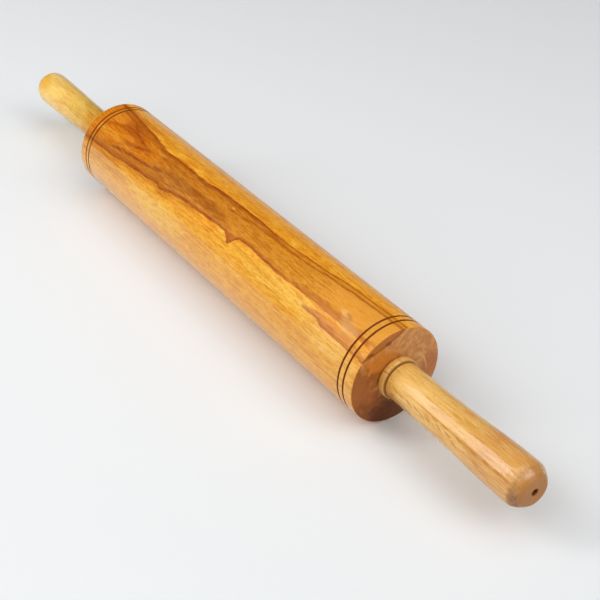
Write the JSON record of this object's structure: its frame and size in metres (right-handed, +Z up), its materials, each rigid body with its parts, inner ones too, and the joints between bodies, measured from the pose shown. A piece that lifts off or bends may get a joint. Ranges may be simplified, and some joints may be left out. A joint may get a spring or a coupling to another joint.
{
  "type": "rolling pin",
  "caption": "Turned wooden rolling pin: a plain barrel with burnt ring lines near its ends spins on a steel axle rod between fixed, swelling handles with collars.",
  "frame": {"origin": "middle of the barrel's length, on the turning axis", "axes": "+X along the turning axis towards the right, thicker handle; +Z up with the pin lying on a worktop"},
  "size_m": [0.4443, 0.05, 0.05],
  "materials": {
    "barrel_wood": "oiled and varnished, with a brown heartwood band",
    "handle_wood": "varnished pale beech with short brown flecks",
    "rod_steel": "drawn bar",
    "washer_steel": "stamped, deburred",
    "bush_plastic": "natural nylon"
  },
  "bodies": {
    "handles": {"axle_rod": "rod_steel", "left_handle": "handle_wood", "right_handle": "handle_wood", "left_thrust_washer": "washer_steel", "right_thrust_washer": "washer_steel"},
    "roller": {"barrel": "barrel_wood", "left_bush": "bush_plastic", "right_bush": "bush_plastic"}
  },
  "joints": [
    {"name": "barrel_spin", "type": "hinge", "parent": "handles", "child": "roller", "pos_m": [0, 0, 0], "axis": [1, 0, 0], "continuous": true}
  ]
}
